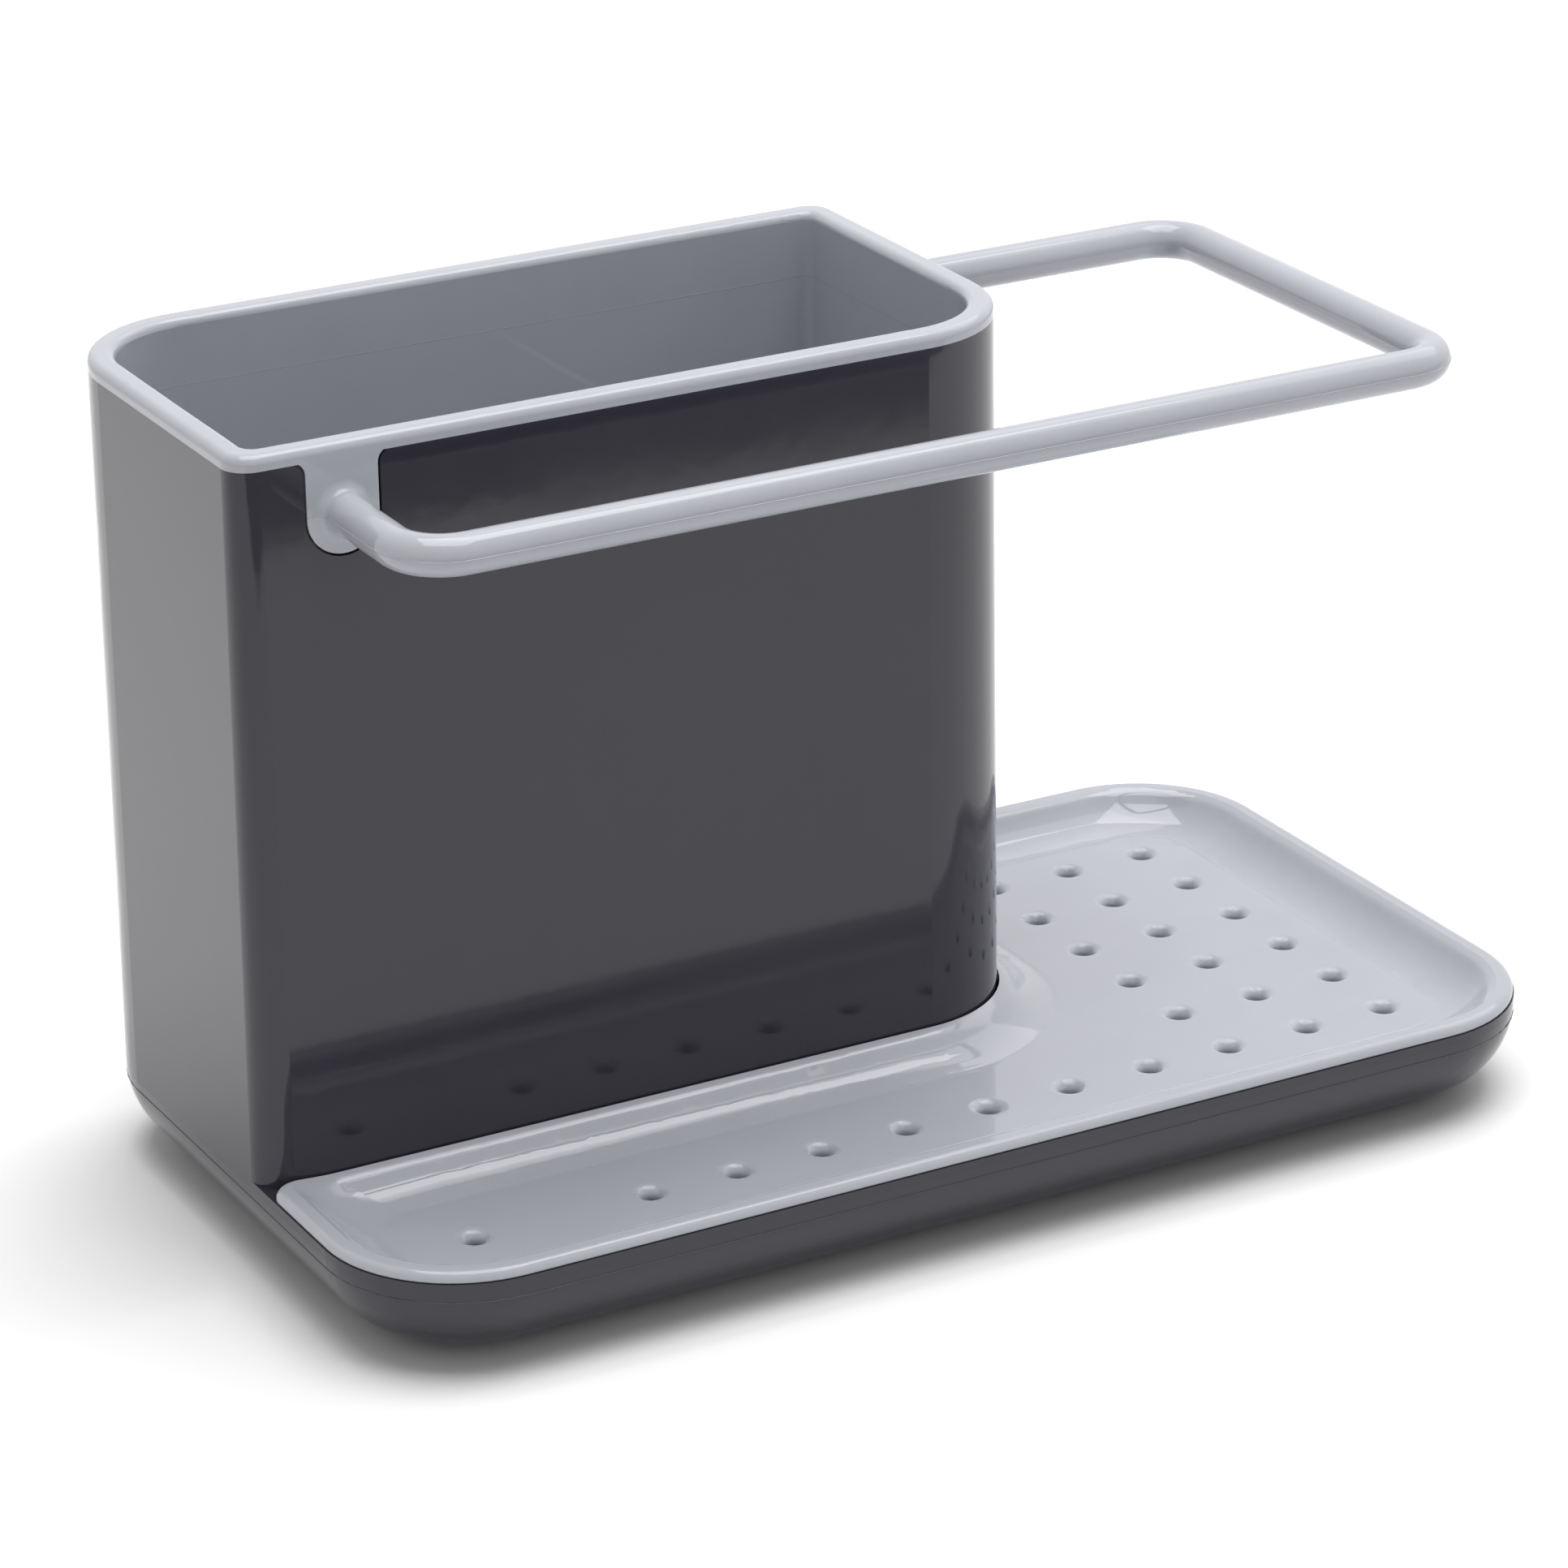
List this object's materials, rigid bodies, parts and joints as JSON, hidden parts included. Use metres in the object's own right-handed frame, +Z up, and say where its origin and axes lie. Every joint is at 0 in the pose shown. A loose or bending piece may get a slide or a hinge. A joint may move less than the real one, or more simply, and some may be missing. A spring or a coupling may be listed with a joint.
{
  "type": "kitchen sink caddy",
  "caption": "Sink caddy: dark rounded base with an open tower, lift-out divided insert with a cloth rail looping round the front and side, and an L-shaped perforated drip tray.",
  "frame": {"origin": "on the table, under the middle of the base", "axes": "+X along the length of the base from the tower towards the pad, +Y away from the user, +Z up"},
  "size_m": [0.205, 0.1134, 0.1301],
  "materials": {
    "dark_plastic": "polished dark grey injection-moulded plastic",
    "light_plastic": "polished pale grey injection-moulded plastic",
    "foot_rubber": "soft matt rubber"
  },
  "bodies": {
    "base": {"base_housing": "dark_plastic", "foot_front_left": "foot_rubber", "foot_front_right": "foot_rubber", "foot_back_left": "foot_rubber", "foot_back_right": "foot_rubber"},
    "insert": {"insert": "light_plastic"},
    "tray": {"drip_tray": "light_plastic"}
  },
  "joints": [
    {"name": "insert_lift", "type": "slide", "parent": "base", "child": "insert", "axis": [0, 0, 1], "range_m": [0, 0.115]},
    {"name": "tray_lift", "type": "slide", "parent": "base", "child": "tray", "axis": [0, 0, 1], "range_m": [0, 0.06]}
  ]
}
